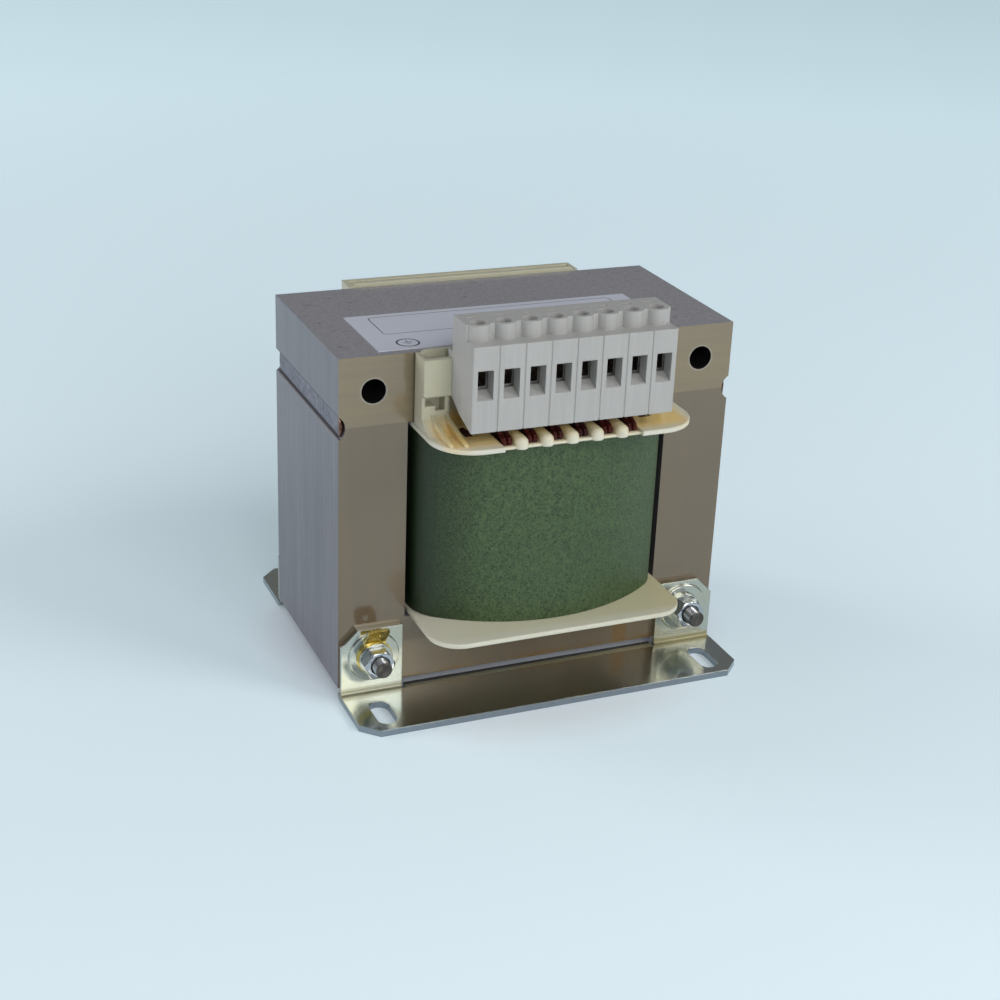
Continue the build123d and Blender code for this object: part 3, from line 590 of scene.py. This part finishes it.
# Painted shade: the bead's upper and lower edges are darkened, in the creases where it meets the notch
# lips.
off_seam = bead_finish.calc("SUBTRACT", bead_finish.along("Z"), (LIP_LOW + LIP_HIGH) / 2 * MM)
BEAD_HIGH = (LIP_HIGH - LIP_LOW) * MM
painted_bead_edge_shade = bead_finish.ramp(bead_finish.calc("ABSOLUTE", off_seam), BEAD_HIGH * 0.38, BEAD_HIGH * 0.46)
steel = bead_finish.mix(bead_finish.calc("MULTIPLY", painted_bead_edge_shade, 0.85), steel, srgb(38, 36, 44))
bead_finish.set("Base Color", bead_finish.mix(heat, steel, burnt))
bead_finish.set("Roughness", bead_finish.ramp(heat, 0, 1, 0.42, 0.16))
bead_finish.set("Normal", bead_finish.bump(bead_finish.noise(700, 3), 0.00006, 0.6))


# %% Rippled weld beads
BEAD_RINGS, BEAD_AROUND, RIPPLE = 361, 40, 0.0016


def weld_bead(side):
    """Flat bead that fills the notch: a loop with a round inner half and a nearly straight outer
    half. The outer half rises and falls with |sin| along the seam, bent into chevrons by the
    height in the loop; the last millimetres thicken to a molten drop and shrink to a round end."""
    name = "weld_left" if side < 0 else "weld_right"
    low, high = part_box(name)
    mid_z, half_z = (low.z + high.z) / 2, (high.z - low.z) / 2
    inner_x, outer_x = (high.x, low.x) if side < 0 else (low.x, high.x)
    along = np.linspace(0, 1, BEAD_RINGS)[:, None]
    turn = np.linspace(0, 2 * np.pi, BEAD_AROUND, endpoint=False)[None, :]
    y = low.y + (high.y - low.y) * along
    end = np.clip(np.minimum(along, 1 - along) * (high.y - low.y) / 0.0012, 0, 1)
    end = 0.05 + 0.95 * np.sqrt(np.clip(1 - (1 - end) ** 2, 0, 1))
    level = np.sign(np.sin(turn)) * np.abs(np.sin(turn)) ** 0.8
    drift = 0.03 * np.sin(y / 0.0034) + 0.02 * np.sin(y / 0.0013 + 1)
    z = half_z * (0.97 * level + drift * (1 - level ** 2)) * end
    ripple = np.abs(np.sin((y - RIPPLE * level ** 2) * np.pi / RIPPLE))
    face = 0.83 + 0.09 * ripple * (1 - level ** 2) - 0.14 * level ** 4
    out = np.where(np.cos(turn) > 0, face, 0.02 + 0.81 * np.abs(level) ** 2.4)
    x = inner_x + (outer_x - inner_x) * (0.5 + (out - 0.5) * end)
    points = np.stack([x + 0 * y, y + 0 * x, mid_z + z + 0 * x], -1).reshape(-1, 3)
    faces = loop_faces(BEAD_RINGS, BEAD_AROUND)
    return mesh_piece(name + "_bead", points, faces, bead_finish, "weld_bead", (name,))


for side in (-1, 1):
    bead = weld_bead(side)
    print(bead.name, len(bead.data.polygons), "faces")

# %% [markdown]
# ## Leads
# The solid model bends its leads at sharp corners. Here the same corners guide a smooth tube: every
# corner is replaced by a short arc, and a ring of points is carried along the path.

# %% Smooth enamelled leads
LEAD_R, LEAD_FIT, BAR_T, AROUND_LEAD = 0.75 * MM, 0.02 * MM, 1.0 * MM, 16
OVER_COIL, TURN_UP, TAIL_LONG, BEND_REACH = 0.1 * MM, 1.35 * MM, 3.1 * MM, 1.1 * MM
tail_axis_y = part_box("contact_bars")[1].y - BAR_T - LEAD_R - LEAD_FIT


def rounded_path(corners, reach, steps=9):
    """Path in the plane of Y and Z: each corner gives way to the quadratic curve between the points
    at the given reach before and behind it, weights (1-t)^2, 2t(1-t) and t^2."""
    corners = np.array(corners)
    t = np.linspace(0, 1, steps)[:, None]
    path = [corners[:1]]
    for before, corner, behind in zip(corners[:-2], corners[1:-1], corners[2:]):
        into, out = before - corner, behind - corner
        start = corner + into * min(reach / np.linalg.norm(into), 0.48)
        stop = corner + out * min(reach / np.linalg.norm(out), 0.48)
        path.append((1 - t) ** 2 * start + 2 * t * (1 - t) * corner + t ** 2 * stop)
    return np.concatenate(path + [corners[-1:]])


def tube(x, path, radius, around):
    """Rings of points round a path that lies in a plane of constant X; each ring is spanned by X
    and by the path's own normal."""
    ahead = np.gradient(path, axis=0)
    ahead = ahead / np.linalg.norm(ahead, axis=1)[:, None]
    normal = np.stack([-ahead[:, 1], ahead[:, 0]], 1)
    turn = np.linspace(0, 2 * np.pi, around, endpoint=False)[None, :]
    wide, high = radius * np.cos(turn), radius * np.sin(turn)
    y = path[:, :1] + normal[:, :1] * high
    z = path[:, 1:] + normal[:, 1:] * high
    return np.stack([x + wide + 0 * y, y, z], -1).reshape(-1, 3)


for number in range(1, 9):
    low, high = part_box(f"tap_lead_{number}")
    bottom, top = low.z, high.z
    start_y, run_y = high.y - LEAD_R, low.y + LEAD_R
    single = high.x - low.x < 3 * LEAD_R
    wires = [(low.x + high.x) / 2] if single else [low.x + LEAD_R, high.x - LEAD_R]
    run_z = bottom + LEAD_R + OVER_COIL
    corners = [(start_y, bottom), (start_y, run_z)]
    if single:
        corners += [(tail_axis_y, run_z)]
    else:
        corners += [(run_y, run_z), (run_y, run_z + TURN_UP), (tail_axis_y, top - TAIL_LONG)]
    path = rounded_path(corners + [(tail_axis_y, top)], BEND_REACH)
    tubes = [tube(wire_x, path, LEAD_R, AROUND_LEAD) for wire_x in wires]
    mesh_piece(
        f"smooth_lead_{number}", *joined(tubes, AROUND_LEAD),
        enamel, "enamelled_copper", (f"tap_lead_{number}",),
    )
print("leads run between heights", round(bottom / MM, 1), "and", round(top / MM, 1), "mm")

# %% [markdown]
# ## Threaded bolts
# A bolt is one surface round an axis: a hexagon head, a shank, a rolled thread and a chamfered
# tip with a shallow dimple. Radius is a function of the distance along the bolt and of the angle.
# Under the head the radius is that of a hexagon, and in the thread it is a triangle wave that
# moves with the angle, which makes the helix.

# %% Bolts with rolled threads
BOLT_R, HEX_HALF, HEAD_H, THREAD_PITCH, THREAD_LONG = 2.5, 4.0, 3.5, 0.8, 17.0
TIP_CHAMFER, THREAD_DEPTH, ROWS_A_PITCH, AROUND_BOLT = 0.35, 0.42, 10, 48


def hexagon(angle):
    """Distance from the middle to a hexagon's side at an angle, for a half width of one."""
    return 1 / np.cos((angle % (np.pi / 3)) - np.pi / 6)


def turned_around(rows, x, z, start_y, angle):
    """Points of rings round an axis along Y; a row holds a level and a radius, each a number or a
    value for every angle."""
    level = np.stack([row[0] + 0 * angle for row in rows])
    radius = np.stack([row[1] + 0 * angle for row in rows])
    points = [x + radius * np.cos(angle), start_y + level, z + radius * np.sin(angle)]
    return np.stack(points, -1).reshape(-1, 3) * MM


def hex_rows(angle, thickness, inner_r):
    """Rows of a hexagon block: the corners are cut by a cone at both ends, so that the radius is
    the smaller of the hexagon's and the cone's."""
    hex_r = HEX_HALF * hexagon(angle)
    rise = np.array([0, 0.12, 0.24, 0.36, 0.5])
    rows = [(0.0, inner_r)]
    rows += [(up, np.minimum(hex_r, HEX_HALF * 0.97 + up * 1.73)) for up in rise]
    rows += [(thickness - up, np.minimum(hex_r, HEX_HALF * 0.97 + up * 1.73)) for up in rise[::-1]]
    return rows + [(thickness, inner_r)]


def bolt_rows(angle, length):
    """Rows from the tip, with its dimple, to the head's top, which is a little hollow. The thread's
    radius is the bolt's, less a triangle wave of the distance over the pitch plus the angle over a
    full turn."""
    run = np.linspace(0, THREAD_LONG, int(THREAD_LONG / THREAD_PITCH * ROWS_A_PITCH))
    rows = [(0.4, 0.3), (0.3, 1.0), (0.0, BOLT_R - TIP_CHAMFER - 0.45)]
    for level in run:
        wave = np.abs(((level / THREAD_PITCH + angle / (2 * np.pi)) % 1) * 2 - 1)
        depth = THREAD_DEPTH * min((THREAD_LONG - level) / 1.5, 1)
        rows.append((level, np.minimum(BOLT_R - depth * wave, BOLT_R - TIP_CHAMFER + level)))
    head = hex_rows(angle, HEAD_H, BOLT_R)[:-1]
    rows += [(length + level, radius) for level, radius in head]
    return rows + [(length + HEAD_H - 0.25, 2.3), (length + HEAD_H - 0.3, 0.3)]


# %% Bright flanks, roots painted dark as shade, and a worn tip
bolt_finish = Finish("threaded_steel", metallic=1.0)
bolt_low, bolt_high = (np.array(corner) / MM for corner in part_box("through_bolts"))
bolt_x, bolt_z = bolt_high[0] - HEX_HALF, (bolt_low[2] + bolt_high[2]) / 2
from_tip = bolt_finish.ramp(bolt_finish.along("Y"), (bolt_low[1] + 0.9) * MM, (bolt_low[1] + 0.3) * MM)
worn = bolt_finish.mix(bolt_finish.noise(700, 3), srgb(58, 54, 52), srgb(128, 123, 118))
plated = bolt_finish.mix(bolt_finish.noise(300, 3), srgb(160, 162, 164), srgb(200, 200, 198))
off_x = bolt_finish.calc("SUBTRACT", bolt_finish.calc("ABSOLUTE", bolt_finish.along("X")), bolt_x * MM)
bolt_radius = root_of_squares(bolt_finish, off_x, offset(bolt_finish, "Z", bolt_z))
# Painted shade: the thread roots are darkened nearly to black.
painted_root_shade = bolt_finish.ramp(bolt_radius, (BOLT_R - 0.12) * MM, (BOLT_R - 0.36) * MM, 0.0, 0.85)
plated = bolt_finish.mix(painted_root_shade, plated, srgb(44, 42, 44))
bolt_finish.set("Base Color", bolt_finish.mix(from_tip, plated, worn))
bolt_finish.set("Roughness", bolt_finish.ramp(from_tip, 0, 1, 0.28, 0.5))
bolt_finish.set("Normal", bolt_finish.bump(bolt_finish.noise(1500, 3), 0.00006, 0.5))

# %% Both bolts as one piece
round_angle = np.linspace(0, 2 * np.pi, AROUND_BOLT, endpoint=False)
rows = bolt_rows(round_angle, bolt_high[1] - HEAD_H - bolt_low[1])
shapes = [turned_around(rows, x, bolt_z, bolt_low[1], round_angle) for x in (-bolt_x, bolt_x)]
bolts = mesh_piece(
    "threaded_bolts", *joined(shapes, AROUND_BOLT),
    bolt_finish, "fastener_steel", ("through_bolts",),
)
print("bolts:", len(bolts.data.polygons), "faces; axis at", round(bolt_x, 2), round(bolt_z, 2))

# %% [markdown]
# ## Nuts
# A nut is the same hexagon block with a chamfered bore, so its rows of radii close on themselves
# like a ring. The left nut presses on the earth tab, so it stands one thickness of that tab
# further forward than the right one.

# %% Nuts with turned corners
NUT_H, NUT_BORE_R, TAB_T = 4.0, 2.52, 0.8
nut_front_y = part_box("hex_nuts")[0].y / MM
places = ((-bolt_x, nut_front_y), (bolt_x, nut_front_y + TAB_T))
chamfer = [(0.35, NUT_BORE_R), (0.0, NUT_BORE_R + 0.45)]
rows = chamfer + hex_rows(round_angle, NUT_H, NUT_BORE_R)[1:]
shapes = [turned_around(rows, x, bolt_z, face_y, round_angle) for x, face_y in places]
nuts = mesh_piece(
    "turned_nuts", *joined(shapes, AROUND_BOLT, closed=True),
    turned_steel, "fastener_steel", ("hex_nuts",),
)
print("nuts:", len(nuts.data.polygons), "faces")

# %% [markdown]
# ## Studio
# A plain pale floor and large soft lamps. The floor's colour for the camera comes from its
# material, while the lamps stay at a level that shows each finish as it is written.

# %% Floor


def floor_finish():
    """Pale floor; for the camera and for glossy surfaces it gives a little light of its own, which is
    painted light: it rises from nearly none under the core, a painted shadow, with the distance from the
    middle."""
    made = Finish("studio_floor", roughness=0.9)
    made.set("Base Color", (0.82, 0.91, 0.96, 1))
    ray = made.tree.nodes.new("ShaderNodeLightPath")
    seen = made.calc("MAXIMUM", ray.outputs["Is Camera Ray"], ray.outputs["Is Glossy Ray"])
    away = root_of_squares(made, made.along("X"), made.along("Y"))
    clear = made.ramp(away, 0.05, 0.075)
    # Painted light: the violet tint under the core stands in for the lit floor seen through the gap.
    made.set("Emission Color", made.mix(clear, (1.0, 0.9, 1.0, 1), (0.66, 0.92, 1.0, 1)))
    painted_floor_glow = made.calc("MULTIPLY_ADD", clear, 0.16, 0.04)
    painted_floor_glow = made.calc("ADD", painted_floor_glow, made.ramp(away, 0.1, 0.9, 0.0, 0.2))
    made.set("Emission Strength", made.calc("MULTIPLY", seen, painted_floor_glow))
    return made


floor_mesh = bpy.data.meshes.new("studio_floor")
FLOOR = 12.0
floor_corners = [(-FLOOR, -FLOOR, 0), (FLOOR, -FLOOR, 0), (FLOOR, FLOOR, 0), (-FLOOR, FLOOR, 0)]
floor_mesh.from_pydata(floor_corners, [], [(0, 1, 2, 3)])
floor = bpy.data.objects.new("studio_floor", floor_mesh)
floor_mesh.materials.append(floor_finish().material)
bpy.context.scene.collection.objects.link(floor)
print("floor:", 2 * FLOOR, "m wide")

# %% World that grows brighter overhead
world = bpy.data.worlds.new("studio_world")
bpy.context.scene.world = world
world.use_nodes = True
sky = world.node_tree.nodes["Background"]
direction = world.node_tree.nodes.new("ShaderNodeTexCoord")
split = world.node_tree.nodes.new("ShaderNodeSeparateXYZ")
dome = world.node_tree.nodes.new("ShaderNodeMapRange")
LOW_SKY, HIGH_SKY = 0.2, 0.24
for socket, number in (("From Min", 0.1), ("From Max", 0.9), ("To Min", LOW_SKY), ("To Max", HIGH_SKY)):
    dome.inputs[socket].default_value = number
world.node_tree.links.new(direction.outputs["Generated"], split.inputs[0])
world.node_tree.links.new(split.outputs["Z"], dome.inputs["Value"])
world.node_tree.links.new(dome.outputs["Result"], sky.inputs["Strength"])
sky.inputs["Color"].default_value = (0.80, 0.87, 0.95, 1)
print("world strength:", LOW_SKY, "to", HIGH_SKY)

# %% Lamps


def lamp(name, place, towards, size, power, colour=(1, 1, 1)):
    """Square area lamp that faces a point; places in metres, power in watts."""
    data = bpy.data.lights.new(name, "AREA")
    data.size, data.energy, data.color = size, power, colour
    made = bpy.data.objects.new(name, data)
    bpy.context.scene.collection.objects.link(made)
    away = np.array(place) - np.array(towards)
    away = away / np.linalg.norm(away)
    side = np.cross([0, 0, 1], away)
    side = side / np.linalg.norm(side)
    turned = np.eye(4)
    turned[:3, 0], turned[:3, 1], turned[:3, 2], turned[:3, 3] = side, np.cross(away, side), away, place
    made.matrix_world = turned.T.tolist()
    return made


AIM = (0, 0, 0.05)
lamp("key_right_above", (0.9, -0.85, 0.95), AIM, 0.6, 6.5)
lamp("fill_left", (-1.3, 0.25, 0.08), AIM, 0.8, 6.9, (1.0, 0.95, 0.98))
lamp("front_soft", (0.0, -1.2, 0.65), AIM, 0.8, 7.0)
lamp("rear_left", (-1.4, 1.3, 1.0), AIM, 0.8, 7.0)

# %% [markdown]
# ## View settings and finish
# The Standard transform shows colours as they are.

# %% Close the scene
bpy.context.scene.view_settings.view_transform = "Standard"
